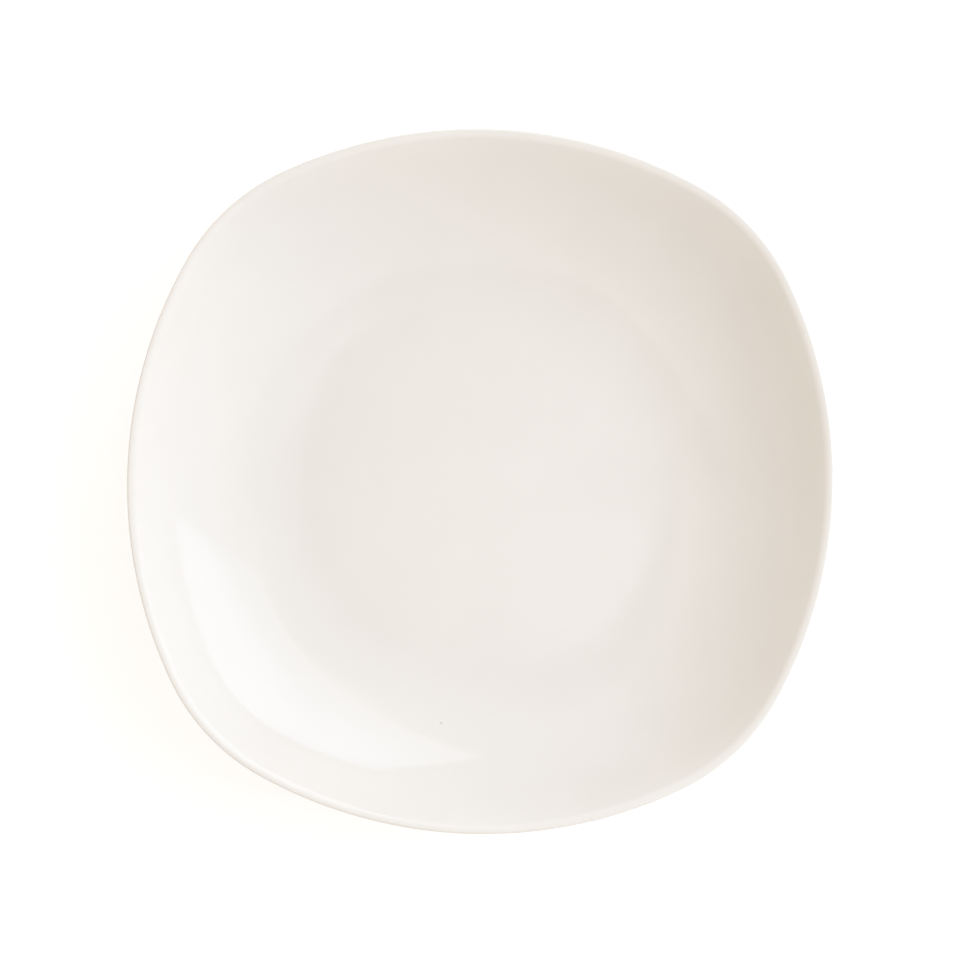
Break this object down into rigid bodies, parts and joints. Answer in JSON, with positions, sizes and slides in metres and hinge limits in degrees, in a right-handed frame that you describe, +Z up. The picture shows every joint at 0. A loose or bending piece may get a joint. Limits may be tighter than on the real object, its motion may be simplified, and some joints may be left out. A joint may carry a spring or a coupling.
{
  "type": "square deep plate",
  "caption": "Soft-square coupe deep plate in glossy warm-white glazed porcelain, with a deep round-floored well and a bare foot ring.",
  "frame": {"origin": "on the standing plane of the foot ring, under the middle of the plate", "axes": "+Z up out of the well; X and Y through the middles of the four bowed sides, so the rounded corners are on the diagonals"},
  "size_m": [0.23, 0.23, 0.042],
  "materials": {
    "bisque": "unglazed fired porcelain, matt, polished on the standing face",
    "glaze": "glossy warm-white glaze"
  },
  "bodies": {
    "root": {"porcelain_body": "bisque", "main_glaze": "glaze", "recess_glaze": "glaze"}
  },
  "joints": []
}
